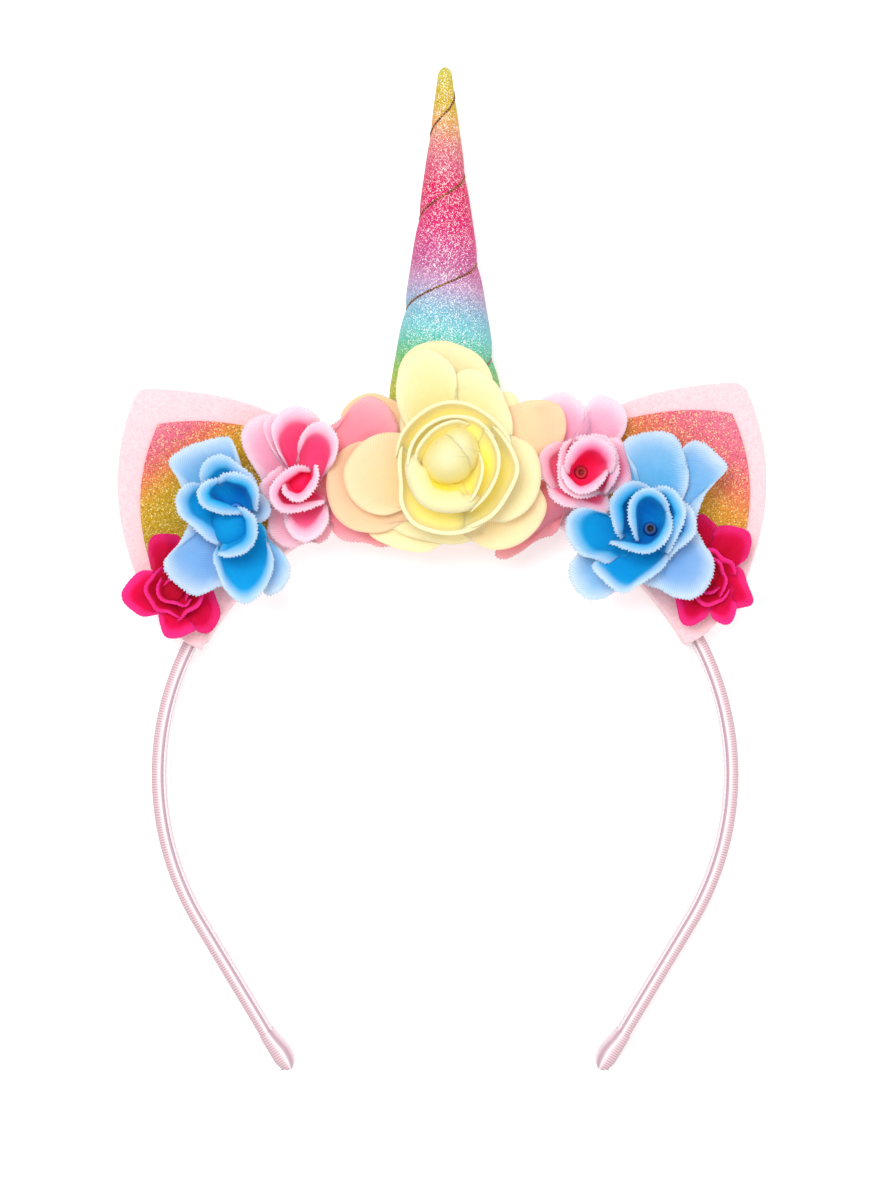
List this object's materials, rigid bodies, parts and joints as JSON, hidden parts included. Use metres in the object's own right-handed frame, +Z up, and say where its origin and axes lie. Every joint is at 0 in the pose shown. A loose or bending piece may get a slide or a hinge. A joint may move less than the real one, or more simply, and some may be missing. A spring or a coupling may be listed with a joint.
{
  "type": "unicorn horn headband",
  "caption": "Dress-up headband: ribbon-wound spring band with a felt sleeve and ears, a stuffed glitter horn and a garland of fabric roses over the forehead.",
  "frame": {"origin": "under the middle of the whole headband, on the floor that it lies on", "axes": "+X to the right across the head as seen from the front, +Y towards the horn's tip, +Z up, out of the fronts of the flowers"},
  "size_m": [0.1432, 0.223, 0.0397],
  "materials": {
    "ribbon": "ribbed satin ribbon over a plastic band",
    "felt": "needle felt, fuzzy",
    "ear_glitter": "glitter cloth, coral to gold",
    "horn_glitter": "glitter cloth, gold to pink to sky blue to green",
    "cream_cloth": "stiffened woven cloth, ivory rims",
    "pink_cloth": "stiffened woven cloth, pale frayed rims",
    "blue_cloth": "stiffened woven cloth, pale frayed rims",
    "magenta_cloth": "stiffened woven cloth",
    "pin_plastic": "moulded"
  },
  "bodies": {
    "root": {"band": "ribbon", "blue_rose_left_back_petals": "blue_cloth", "blue_rose_left_cup": "blue_cloth", "blue_rose_left_heart": "blue_cloth", "blue_rose_left_middle_petals": "blue_cloth", "blue_rose_left_pin": "pin_plastic", "blue_rose_right_back_petals": "blue_cloth", "blue_rose_right_cup": "blue_cloth", "blue_rose_right_heart": "blue_cloth", "blue_rose_right_middle_petals": "blue_cloth", "blue_rose_right_pin": "pin_plastic", "cream_rose_back_petals": "cream_cloth", "cream_rose_bud": "cream_cloth", "cream_rose_cup": "cream_cloth", "cream_rose_middle_petals": "cream_cloth", "cream_rose_outer_petals": "cream_cloth", "cream_rose_pin": "pin_plastic", "cream_rose_roll": "cream_cloth", "felt_ear_left": "felt", "felt_ear_right": "felt", "felt_sleeve": "felt", "horn": "horn_glitter", "inner_ear_left": "ear_glitter", "inner_ear_right": "ear_glitter", "magenta_rose_left_back_petals": "magenta_cloth", "magenta_rose_left_cup": "magenta_cloth", "magenta_rose_left_heart": "magenta_cloth", "magenta_rose_left_pin": "pin_plastic", "magenta_rose_right_back_petals": "magenta_cloth", "magenta_rose_right_cup": "magenta_cloth", "magenta_rose_right_heart": "magenta_cloth", "magenta_rose_right_pin": "pin_plastic", "pink_rose_left_back_petals": "pink_cloth", "pink_rose_left_cup": "pink_cloth", "pink_rose_left_heart": "pink_cloth", "pink_rose_left_middle_petals": "pink_cloth", "pink_rose_left_pin": "pin_plastic", "pink_rose_right_back_petals": "pink_cloth", "pink_rose_right_cup": "pink_cloth", "pink_rose_right_heart": "pink_cloth", "pink_rose_right_middle_petals": "pink_cloth", "pink_rose_right_pin": "pin_plastic", "ribbon_fold_left": "ribbon", "ribbon_fold_right": "ribbon"}
  },
  "joints": []
}
